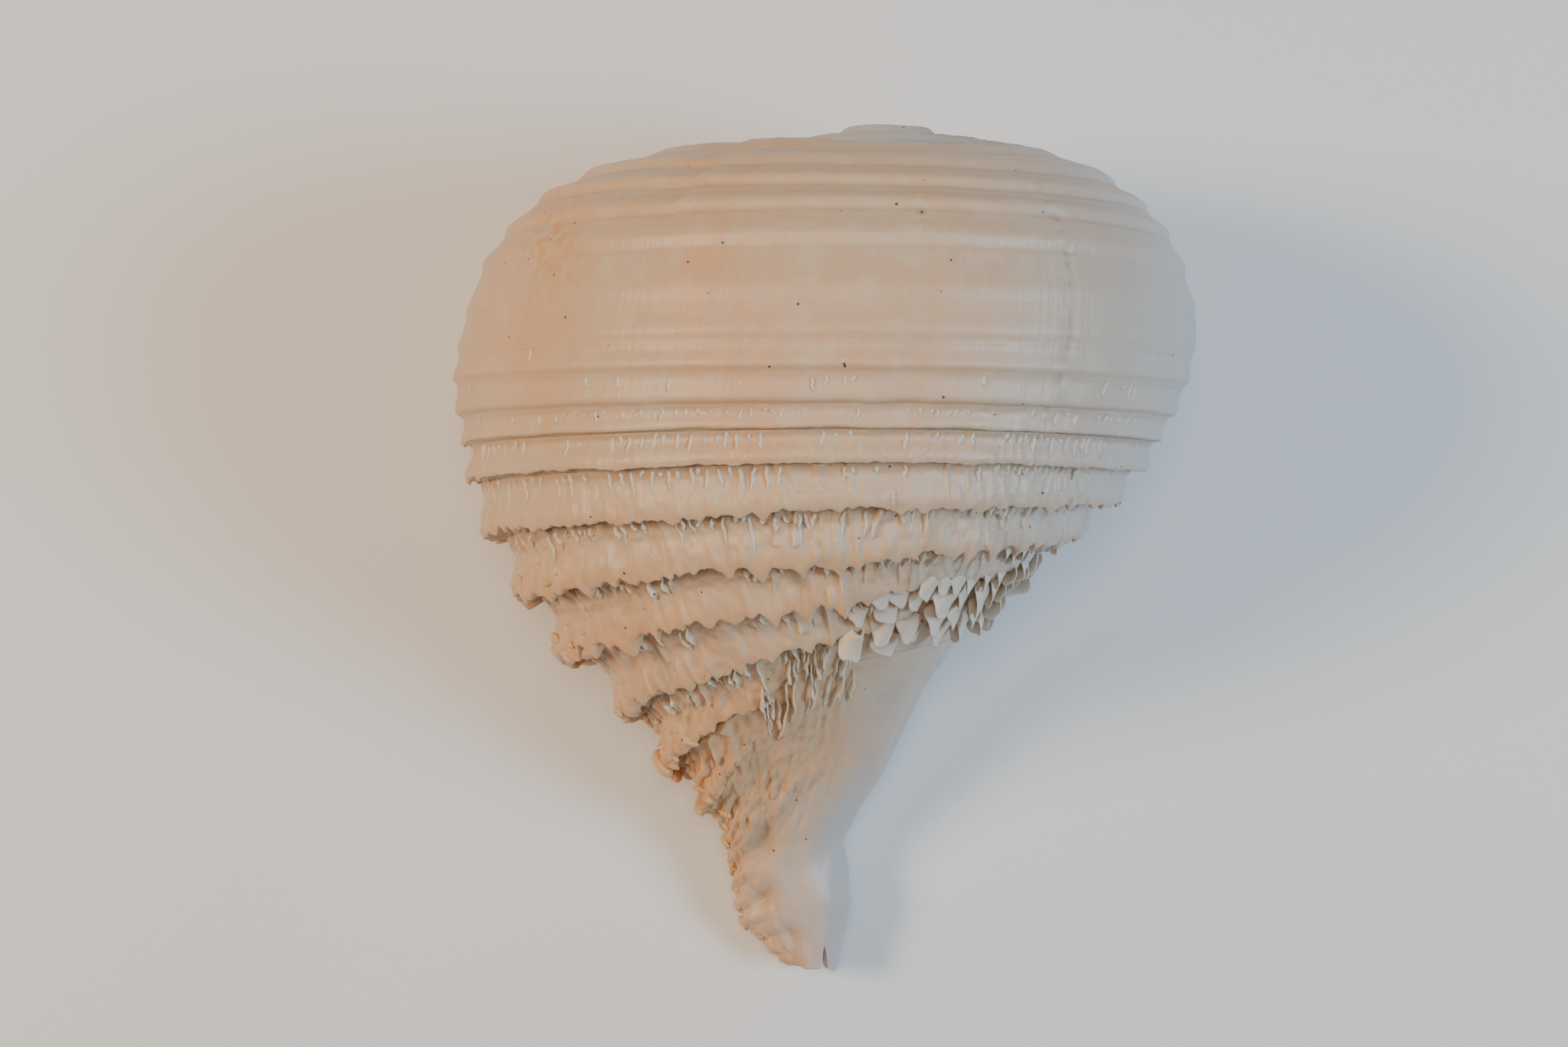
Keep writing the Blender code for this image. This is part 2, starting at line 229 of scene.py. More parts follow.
def marks(value, row, seed, width, power):
    """Irregular points about a step apart along a row: how near and large the nearest one is, 0 to 1."""
    table = np.random.RandomState(seed).rand(2, 256, 64)
    cell = np.floor(value).astype(int)
    best = 0 * value
    for shift in (-1, 0, 1):
        place, size = table[:, (cell + shift) % 256, row % 64]
        far = np.abs(value - cell - shift - 0.15 - 0.7 * place) / width
        best = np.maximum(best, (0.25 + 0.75 * size) * np.clip(1 - far, 0, 1) ** power)
    return best


def cord_place(line):
    """The cord a line is on, how far down it from 0 to 1 the line lies, and its height and radius."""
    grooves, heights = np.array(GROOVES), np.array(HEIGHTS)
    index = np.clip(np.searchsorted(grooves, line) - 1, 0, len(grooves) - 2)
    t = np.clip((line - grooves[index]) / (grooves[index + 1] - grooves[index]), 0, 1)
    radius = np.exp(through(TABLE[:, 1], grooves))[index + 1]
    return index, t, heights[index + 1] * ((line > grooves[0]) & (line < grooves[-1])), radius


def lamellae(arc, line, index):
    """Thin growth sheets that overlap round the whorl in uneven steps: their rise, and their white edges."""
    place = arc / 1.1 + 1.5 * grain(arc / 2.9, line * 0.9, 25) + 0.5 * grain(arc / 0.9, line * 2.6, 26)
    sheet = np.floor(place)
    sizes = np.random.RandomState(27).rand(256, 32) ** 1.6
    size = sizes[sheet.astype(int) % 256, (index + np.floor(line * 2).astype(int)) % 32]
    size = size * (0.4 + 0.6 * grain(arc / 1.3, line * 3.0, 29))
    rise = smooth(0.35, 0.90, place - sheet) * (1 - smooth(0.92, 1.0, place - sheet))
    return size * rise, size * smooth(0.72, 0.88, place - sheet) * (1 - smooth(0.94, 1.0, place - sheet))


def ramp_band(value, rise_from, rise_to, fall_from, fall_to):
    """1 between two ramps, 0 outside them."""
    return smooth(rise_from, rise_to, value) * (1 - smooth(fall_from, fall_to, value))


def canal_relief(line, turn, index, sheet, crumple):
    """Rise of the neck and canal in millimetres: lumps, rim knobs and pits; also the pits themselves."""
    neck = smooth(14.2, 15.8, line)
    rise = neck * (1 - smooth(17.0, 18.5, line)) * smooth(70, 95, turn) * (0.40 * sheet + 0.5 * crumple)
    rise = rise + 0.12 * (1 - neck) * (grain(turn / 4.5, line * 0.35, 14) - 0.5)
    rise = rise + neck * 0.8 * (grain(turn / 34, line * 0.9, 15) - 0.5)
    rise = rise + neck * 0.25 * (grain(turn / 16, line * 2.2, 16) - 0.5)
    rise = rise + neck * 0.24 * smooth(95, 125, turn) * (grain(turn / 9, line * 1.6, 23) - 0.5)
    rim = smooth(14.6, 16, line) * smooth(122, 160, turn)
    knobs = marks(line * 2.9, 0 * index, 17, 0.62, 0.6)
    rise = rise + rim * (0.7 * knobs - 0.2 + 0.35 * (grain(turn / 6, line * 5, 18) - 0.5))
    dent = 0 * turn
    for at_line, at_turn, along, around, depth in PITS:
        dent = dent + depth * np.exp(-((line - at_line) / along) ** 2 - ((turn - at_turn) / around) ** 2)
    return rise - 1.4 * dent, dent


def growth_marks(line, turn):
    """Rise in millimetres of the neck's layers, the cracks and the mended break; also the cracks' mask, for
    painted shade inside them.
    """
    layers = ramp_band(line, 14.1, 14.8, 16.8, 17.6)
    shift = turn + 9 * (grain(line * 2.6, 0 * line, 19) - 0.5) + 3 * (grain(line * 9, 0 * line, 24) - 0.5)
    edges = 0.16 * smooth(14, 12.5, shift) + 0.2 * smooth(25, 23, shift) + 0.14 * smooth(39, 36, shift)
    rise = -layers * edges
    crack_shade = 0 * turn
    for place, first, last, depth in CRACKS:
        course = place + 1.2 * (grain(line * 1.6, place + 0 * line, 20) - 0.5)
        course = course + 0.5 * (grain(line * 7, place + 0 * line, 21) - 0.5)
        span = ramp_band(line, first, first + 0.2, last - 0.2, last)
        fold, slit = np.exp(-((turn - course - 0.5) / 0.4) ** 2), np.exp(-((turn - course) / 0.24) ** 2)
        rise = rise + span * depth * (1.1 * fold - 1.3 * slit)
        crack_shade = np.maximum(crack_shade, span * slit * depth / 0.16)
    step = REPAIR_TURN + 0.6
    repair = ramp_band(turn, REPAIR_TURN, step, step, REPAIR_TURN + 10) * ramp_band(line, 1.8, 2.2, 4.8, 5.6)
    return rise - 0.22 * repair, crack_shade


def whorl_detail(line, turn):
    """Height and downward drift of the surface in millimetres, with masks of crests, painted shade in the
    hollows, and frills.
    """
    low, mid = smooth(9.0, 12.5, line), smooth(7.6, 9.6, line)
    margin = smooth(160, 184, turn) * ramp_band(line, 4, 9, 15.5, 17)
    wander = (grain(turn / 14, line * 0.7, 3) - 0.5) * 0.14 * low
    wander = wander + (grain(turn / 5, line, 4) - 0.5) * 0.06 * mid
    index, t, height, radius = cord_place(line + wander)
    arc = np.radians(turn) * radius
    scaly = smooth(11.5, 12.6, line) * (1 - smooth(64, 98, turn)) * (1 - smooth(14.6, 15.2, line))
    points = marks(arc / 2.3, index, 5, 0.42, 1.5) * low
    points = points * (1 - 0.45 * smooth(105, 130, turn)) * (1 - 0.8 * margin)
    teeth = marks(arc / 0.9, index, 6, 0.5, 1.0) * mid
    uneven = 0.35 * grain(arc / 2.4, index * 3.7, 7) + 0.4 * grain(arc / 0.95, index * 5.1, 28)
    uneven = uneven + 0.25 * grain(arc / 0.4, index * 2.9, 33) - 0.5
    edge_at = 0.80 + 0.10 * points + 0.03 * teeth + (0.03 + 0.25 * low) * uneven
    rise = 0.18 * t + 0.82 * smooth(0.12 + 0.24 * low, 0.70 + 0.10 * low, t)
    fall = 1 - smooth(edge_at - 0.03 - 0.12 * (1 - mid), edge_at + 0.16 - 0.07 * mid, t)
    crest = rise * fall
    lumps = grain(arc / 2.4, index * 1.9, 8) - 0.45
    swell = 1 + low * (0.42 * lumps + 0.25 * points) + 0.08 * (1 - low) * lumps
    right_base = smooth(13.4, 14.6, line) * (1 - smooth(78, 122, turn - 22 * (line - 14)))
    bare = (1 - right_base) * (1 - 0.62 * scaly)
    up = height * crest * swell * bare
    overhang = 0.35 + 1.1 * points + 1.2 * low * uneven
    drift = height * (0.22 * mid + 0.42 * low) * smooth(0.4, 0.86, t) * fall * overhang
    drift = drift * bare * (1 - 0.5 * margin)
    beads = np.abs(np.sin(np.pi * (arc / 2.1 + 0.5 * index + 0.9 * grain(arc / 3, index * 2.3, 9))))
    up = up + margin * crest * (0.15 + 0.75 * low) * (beads - 0.45) + margin * crest * 0.5 * low
    crumple = 0.6 * grain(arc / 0.95, line * 5.2, 10) + 0.4 * grain(arc / 0.42, line * 11, 30) - 0.5
    gap = 1 - smooth(0.55, 0.85, t)
    rough = 0.05 + 0.55 * low * (0.35 + 0.5 * gap + 0.8 * margin)
    up = up + crumple * rough * (1 - 0.85 * right_base) * (0.25 + 0.75 * mid)
    sheet, sheet_edge = lamellae(arc, line, index)
    calm = 1 - 0.75 * ramp_band(turn, 104, 116, 128, 142)
    deepest = mid * (0.35 + 0.65 * low) * (1 - right_base) * calm
    up = up + 0.55 * sheet * deepest * (0.35 + 0.65 * gap) * smooth(24, 44, turn)
    folds = 1 - np.abs(2 * grain(arc / 1.5 + 0.6 * t, line * 0.55, 11) - 1)
    folds = np.clip((folds - 0.6) / 0.4, 0, 1)
    up = up + 0.22 * mid * (1 - smooth(0.6, 0.85, t)) * folds * (0.3 + 0.7 * low) * bare
    neck_up, dent = canal_relief(line, turn, index, sheet, crumple)
    marks_up, crack_shade = growth_marks(line, turn)
    up = up + neck_up + marks_up
    # Painted shade, not the shell's own colour: darker where the cord falls away under each crest and most
    # just below the crest's edge, in a band along the grooves of the upper cords, and in the canal's pits and
    # the cracks.
    hollow = np.clip(1 - rise * fall * 1.25, 0, 1) * smooth(0.45, 1.5, height * np.ones_like(t)) * bare
    groove_shade = np.exp(-((t / 0.13) ** 2)) + np.exp(-(((1 - t) / 0.07) ** 2))
    groove_shade = groove_shade * (line > 0.6) * (1 - smooth(12, 13, line))
    groove_shade = groove_shade * (0.75 + 0.5 * grain(turn / 12, line * 0.6, 34))
    hollow = hollow * (0.30 + 0.60 * smooth(0.3, 0.0, t)) + 0.72 * groove_shade * np.clip(height / 0.4, 0, 1)
    hollow = np.clip(hollow + 0.85 * np.clip(dent, 0, 1) + 0.8 * crack_shade, 0, 1)
    white = 0.5 * np.clip(points, 0, 1) * smooth(0.7, 0.9, t) * fall + 0.75 * sheet_edge * deepest * gap
    return up, drift, crest * (height > 0.3) * bare, hollow, white


def new_piece(thing, name, material):
    """Names a finished piece, gives it its finish and lets it ride on the shell's body."""
    thing.name = thing.data.name = name
    thing.data.materials.clear()
    thing.data.materials.append(material)
    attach(thing, "root")
    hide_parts("shell")
    return thing


def deselect():
    """Nothing selected, so an operator acts only on what it makes."""
    bpy.ops.object.select_all(action="DESELECT")


def read_points(thing):
    """The vertices of an object as rows."""
    at = np.empty(len(thing.data.vertices) * 3)
    thing.data.vertices.foreach_get("co", at)
    return at.reshape(-1, 3)


def write_points(thing, points):
    """Moves the vertices to points in millimetres from the coil axis, none under the table."""
    points = np.maximum(points - ORIGIN, (-1e9, -1e9, 0.01))
    thing.data.vertices.foreach_set("co", (points * MM).ravel())
    thing.data.update()


def write_masks(thing, **masks):
    """Stores values at the points for the material to read."""
    for name, values in masks.items():
        layer = thing.data.attributes.new(name, "FLOAT", "POINT")
        layer.data.foreach_set("value", np.asarray(values, np.float32).ravel())


def wall_belt(first_line, last_line, across, along, wall):
    """One belt of the thin wall between two lines, from its start on the right to the lip."""
    deselect()
    bpy.ops.mesh.primitive_grid_add(x_subdivisions=across, y_subdivisions=along, size=2)
    belt = bpy.context.object
    thick = belt.modifiers.new("wall", "SOLIDIFY")
    thick.thickness = 1
    thick.offset = -1
    bpy.ops.object.modifier_apply(modifier=thick.name)
    at = read_points(belt)
    line = first_line + (last_line - first_line) * np.clip((at[:, 1] + 1) / 2, 0, 1)
    start = -12 - 46 * smooth(12.5, 17.5, line)
    crest = whorl_detail(line, np.full_like(line, NEAR_LIP))[2]
    end = lip_turn(line) + 1.6 * (crest - 0.4) * (1 - smooth(16, 18, line))
    end = end + 1.2 * (grain(line * 4, 0 * line, 22) - 0.5)
    turn = start + (end - start) * (at[:, 0] + 1) / 2
    line = line - 0.4 * smooth(19.2, 20, line) * np.exp(-((turn - NOTCH_TURN) / 6) ** 2)
    up, drift, crest, hollow, frill = whorl_detail(line, turn)
    inner = at[:, 2] < -0.5
    out, down = directions(line, turn)
    lift = np.where(inner, 0.2 * crest - wall, up)
    points = skin(line, turn) + out * lift[:, None] + down * np.where(inner, 0, drift)[:, None]
    write_points(belt, points)
    outside = ~inner
    write_masks(belt, crest=crest * outside, hollow=hollow * outside, frill=frill * outside, line=line,
                turn=turn)
    face_out(belt)
    return belt


def face_out(thing):
    """Turns a closed piece's faces outwards, if its volume says that they face in, and smooths them."""
    mesh = thing.data
    mesh.calc_loop_triangles()
    corners = np.empty(len(mesh.loop_triangles) * 3, np.int32)
    mesh.loop_triangles.foreach_get("vertices", corners)
    a, b, c = read_points(thing)[corners].reshape(-1, 3, 3).transpose(1, 0, 2)
    if np.sum(a * np.cross(b, c)) < 0:
        mesh.flip_normals()
    mesh.shade_smooth()


def ball(around, rings):
    """A ball to be drawn out into a form, with its place from pole to pole and its angle."""
    deselect()
    bpy.ops.mesh.primitive_uv_sphere_add(segments=around, ring_count=rings, radius=1)
    thing = bpy.context.object
    at = read_points(thing)
    polar = np.arccos(np.clip(at[:, 2] / np.linalg.norm(at, axis=1), -1, 1)) / np.pi
    return thing, polar, np.degrees(np.arctan2(at[:, 1], at[:, 0]))


def inner_whorls(around, rings):
    """The whorls inside, filled: a ball whose girdle follows the spiral one turn back behind the lip."""
    thing, polar, angle = ball(around, rings)
    angle = np.where(angle < LIP_ANGLE - 360, angle + 360, angle)
    turn = np.where(angle > 0, angle - 360 * smooth(0, CAVITY_END, angle), angle)
    place = BALL_LINES * polar - SPIRE_LINES
    line = np.clip(place, 0, LAST_INNER)
    up, drift, crest, hollow, frill = whorl_detail(line, turn)
    out, down = directions(line, turn, angle)
    points = skin(line, turn, angle) + out * up[:, None] + down * drift[:, None]
    y, x, z = spiral(line, turn)[1:]
    top = np.clip(BALL_LINES * polar / SPIRE_LINES, 0, 1)
    drum = smooth(0.5, 1.0, top)
    spire = np.stack([x + (points[:, 0] - x) * top**0.5, SPIRE_Y + (points[:, 1] - SPIRE_Y) * drum,
                      z + (points[:, 2] - z) * top**0.5], -1)
    points = np.where(top[:, None] < 1, spire, points)
    closing = smooth(LAST_INNER, BALL_LINES - SPIRE_LINES, place)[:, None]
    points = points + (np.stack([x, y, z], -1) - points) * closing
    write_points(thing, points)
    write_masks(thing, crest=crest, hollow=hollow, frill=frill, line=line, turn=turn)
    face_out(thing)
    return thing


def pillar(around, rings):
    """The pillar from the earlier whorls into the canal."""
    thing, polar, angle = ball(around, rings)
    row = through(PILLAR, polar * (len(PILLAR) - 1))
    radius = row[:, 3] * np.sqrt(np.clip(1 - (2 * polar - 1) ** 8, 0, 1))
    angle = np.radians(angle)
    across, away = row[:, 0] + radius * np.cos(angle), row[:, 2] + radius * np.sin(angle)
    points = np.stack([across, row[:, 1] + 0 * radius, away], -1)
    write_points(thing, points)
    none = 0 * polar
    write_masks(thing, crest=none, hollow=none, frill=none, line=15 + none, turn=none)
    face_out(thing)
    return thing


def many(count, across, along):
    """Many thin grids in one object, with each copy's place across and along and its inner side."""
    deselect()
    bpy.ops.mesh.primitive_grid_add(x_subdivisions=across, y_subdivisions=along, size=2)
    thing = bpy.context.object
    thick = thing.modifiers.new("wall", "SOLIDIFY")
    thick.thickness = 1
    thick.offset = -1
    bpy.ops.object.modifier_apply(modifier=thick.name)
    one = read_points(thing)
    copies = thing.modifiers.new("copies", "ARRAY")
    copies.count = count
    bpy.ops.object.modifier_apply(modifier=copies.name)
    return thing, one[:, 0], (one[:, 1] + 1) / 2, one[:, 2] < -0.5


def foot(line, turn):
    """The point on the whorl with its own relief, and the directions out, down and round at it."""
    up, drift = whorl_detail(line, turn)[:2]
    out, down = directions(line, turn)
    point = skin(line, turn) + out * up[..., None] + down * drift[..., None]
    return point, out, down, np.cross(down, out)


def vaulted_scales(size):
    """Rows of thin vaulted scales low on the right, open towards the canal and the lip."""
    rand = np.random.RandomState(31)
    lines, turns, grades = [], [], []
    for line, first, last, pitch, grade in SCALE_ROWS:
        turn = first + rand.uniform(0, 0.5 * pitch)
        while turn < last:
            lines.append(line + rand.uniform(-0.1, 0.1))
            turns.append(turn)
            grades.append(grade * rand.uniform(0.75, 1.2) * size)
            turn += pitch / back_radius(line) * RADIAN * rand.uniform(0.85, 1.2)
    lines, turns, grades = (np.array(v)[:, None] for v in (lines, turns, grades))
    thing, side, reach, inner = many(len(lines), 18, 12)
    side, reach, inner = side[None], reach[None], inner[None]
    seed = np.arange(len(lines))[:, None]
    base, out, down, around = foot(lines, turns)
    heading = np.radians(rand.uniform(70, 95, lines.shape) - 45 * smooth(25, 75, turns))
    front = down * np.cos(heading)[..., None] + around * np.sin(heading)[..., None]
    across = np.cross(out, front)
    bend = side * np.pi / 2 * 1.18
    wide = grades * 0.56 * (0.5 + 0.5 * reach**0.6) * rand.uniform(0.8, 1.2, lines.shape)
    high = grades * (0.30 + 0.14 * reach) * rand.uniform(0.8, 1.4, lines.shape)
    ruffle = 1 + 0.10 * np.sin(side * 7 + seed) * reach
    ruffle = ruffle + 0.16 * (grain(side * 2.5 + seed * 3.3, reach * 2, 32) - 0.5)
    thin = 0.19 - 0.10 * reach
    wide, high = wide * ruffle - inner * thin, high * ruffle - inner * thin
    over = wide * np.sin(bend)
    rise = high * np.cos(bend) + grades * 0.30 * reach**1.3 * (1 - 0.3 * side**2) - 0.25
    along = grades * (0.85 * reach - 0.35 - 0.30 * side**2 * reach) * (1 + 0.9 * (ruffle - 1))
    points = base + across * over[..., None] + out * rise[..., None] + front * along[..., None]
    write_points(thing, points.reshape(-1, 3))
    flat = 0 * side * seed
    # Painted shade: the inner side of each scale is darkened, most near its root; the outer side whitens
    # towards the tip.
    hollow, frill = inner * (0.45 - 0.35 * reach), (0.35 + 0.35 * reach**2) * (1 - 0.5 * inner)
    write_masks(thing, crest=flat, hollow=hollow + flat, frill=frill + flat, line=lines + flat,
                turn=turns + flat)
    face_out(thing)
    return thing


def margin_knobs():
    """Rounded knobs on the cord ends down the left margin and along the left rim of the canal."""
    rand = np.random.RandomState(51)
    rows = []
    for index in range(10, len(GROOVES) - 2):
        gap = GROOVES[index + 1] - GROOVES[index]
        size = float(0.5 + 0.75 * smooth(9, 12, GROOVES[index]))
        for step in range(7):
            turn = 160 + 8.2 * step + rand.uniform(-2, 2)
            grown = size * min(1, 0.5 + 0.18 * step)
            for low, high, further, small, large in KNOBS:
                line = GROOVES[index] + gap * rand.uniform(low, high)
                rows.append((line, turn + further, grown * rand.uniform(small, large)))
    for line in np.arange(15.2, 19.6, 0.2):
        for turn in (172, 184, 196):
            if rand.rand() < 0.6:
                at = line + rand.uniform(-0.06, 0.06)
                rows.append((at, turn + rand.uniform(-5, 5), rand.uniform(0.35, 0.7)))
    line, turn, size = (v[:, None] for v in np.array(rows).T)
    deselect()
    bpy.ops.mesh.primitive_uv_sphere_add(segments=20, ring_count=12, radius=1)
    thing = bpy.context.object
    one = read_points(thing)
    copies = thing.modifiers.new("copies", "ARRAY")
    copies.count = len(rows)
    bpy.ops.object.modifier_apply(modifier=copies.name)
    base, out, down, around = foot(line, turn)
    seed = np.arange(len(rows))[:, None]
    x, y, z = (one[None, :, k] for k in range(3))
    lump = 1 + 0.7 * (grain(x * 1.6 + seed * 2.7, y * 1.6 + z * 1.3, 52) - 0.5)
    x, y, z = (value * size * lump for value in (x, y, z))
    points = base + around * (1.2 * x)[..., None] + down * (0.8 * y)[..., None]
    points = points + out * (0.50 * z - 0.30 * size)[..., None]
    write_points(thing, points.reshape(-1, 3))
    flat = 0 * x
    write_masks(thing, crest=0.8 + flat, hollow=flat, frill=flat, line=line + flat, turn=turn + flat)
    face_out(thing)
    return thing


def growth_frills():
    """Thin upright growth frills that hang from each groove into the space below it."""
    rand = np.random.RandomState(41)
    rows = []
    for index in range(FIRST_FRILL, len(GROOVES) - 2):
        top, gap = GROOVES[index], GROOVES[index + 1] - GROOVES[index]
        radius = back_radius(top)
        turn = 20.0
        while turn < 186:
            crowd = smooth(0.32, 0.7, grain(np.array(turn / 9), np.array(index * 0.8), 42))
            grown = float(0.5 + 0.9 * smooth(9.5, 13, top))
            busy = (0.25 + crowd) * smooth(26, 48, turn) * (1 - 0.6 * smooth(128, 150, turn))
            busy = busy * FRILL_SHARE[min(index - FIRST_FRILL, len(FRILL_SHARE) - 1)]
            if top < 13.5 or turn > 80:
                if rand.rand() < busy:
                    first, length = top + gap * rand.uniform(0.01, 0.10), gap * rand.uniform(0.14, 0.48)
                    height = rand.uniform(0.16, 0.32) * grown
                    rows.append((first, turn, length, height, rand.uniform(-1, 1), rand.uniform(0, 6.28)))
            turn += np.degrees(rand.uniform(0.5, 1.2) / radius)
    for step in range(NECK_FRILLS):
        rows.append((rand.uniform(13.8, 15.3), rand.uniform(80, 128), rand.uniform(0.4, 1.0),
                     rand.uniform(0.25, 0.7), rand.uniform(-1, 1), rand.uniform(0, 6.28)))
    first, turn, length, height, lean, phase = (v[:, None] for v in np.array(rows).T)
    thing, side, reach, inner = many(len(rows), 6, 16)
    side, reach, inner = side[None], reach[None], inner[None]
    line = first + length * reach
    radius = back_radius(line)
    sway = 0.09 * np.sin(4.0 * reach + phase) + 0.05 * np.sin(11 * reach + 2 * phase) + 0.30 * lean * reach**2
    sway = sway * np.sqrt(height / 0.3)
    at = turn + np.degrees(sway / radius)
    base, out, down, around = foot(line, at)
    arch = np.clip(np.sin(np.pi * np.clip(reach * 0.85 + 0.15, 0, 1)), 0, 1)
    tall = 1.25 * height * arch**0.7 * (1.1 - 0.5 * reach)
    tall = tall * (0.75 + 0.5 * grain(reach * 5 + phase * 9, phase + 0 * reach, 43))
    up = (1 + side) / 2
    half = (0.30 - 0.23 * up**0.6) * (1 - 2 * inner) * (0.15 + 0.85 * np.sin(np.pi * reach) ** 0.6)
    points = base + out * ((1.35 * up - 0.35) * tall)[..., None]
    points = points + around * (half + 0.35 * tall * up**2 * lean)[..., None]
    points = points + down * (0.25 * tall * up)[..., None]
    write_points(thing, points.reshape(-1, 3))
    flat = 0 * side * phase
    write_masks(thing, crest=flat, hollow=flat, frill=0.1 + 0.6 * up**1.5 + flat, line=line + flat,
                turn=at + flat)
    face_out(thing)
    return thing


def node(tree, kind, place, **values):
    """Adds a node at a place and sets its properties."""
    made = tree.nodes.new(kind)
    made.location = place
    for key, value in values.items():
        setattr(made, key, value)
    return made


def link(tree, source, output, target, socket):
    """Joins an output to a socket."""
    tree.links.new(source.outputs[output], target.inputs[socket])


def mask(tree, name, place):
    """A value stored at the points."""
    made = node(tree, "ShaderNodeAttribute", place, attribute_type="GEOMETRY")
    made.attribute_name = name
    return made


def noise(tree, coordinates, size_mm, detail, rough, place):
    """Noise whose lumps are about this many millimetres."""
    made = node(tree, "ShaderNodeTexNoise", place)
    made.inputs["Scale"].default_value = 1 / (size_mm * MM)
    made.inputs["Detail"].default_value = detail
    made.inputs["Roughness"].default_value = rough
    link(tree, coordinates, "Vector" if "Vector" in coordinates.outputs else "Object", made, "Vector")
    return made


def spread(tree, source, output, low, high, place, to_low=0.0, to_high=1.0):
    """Maps a value from one range to another, held at the ends."""
    made = node(tree, "ShaderNodeMapRange", place)
    for socket, value in (("From Min", low), ("From Max", high), ("To Min", to_low), ("To Max", to_high)):
        made.inputs[socket].default_value = value
    link(tree, source, output, made, "Value")
    return made


def times(tree, a, b, place):
    """Product of two values."""
    made = node(tree, "ShaderNodeMath", place, operation="MULTIPLY")
    link(tree, a[0], a[1], made, 0)
    link(tree, b[0], b[1], made, 1)
    return made


def blend(tree, factor, first, second, place):
    """Colour mixed from first to second; each is a node output or a colour."""
    made = node(tree, "ShaderNodeMix", place, data_type="RGBA")
    tree.links.new(factor, made.inputs["Factor"])
    for value, socket in ((first, 6), (second, 7)):
        if isinstance(value, tuple):
            made.inputs[socket].default_value = (*value, 1)
        else:
            tree.links.new(value, made.inputs[socket])
    return made


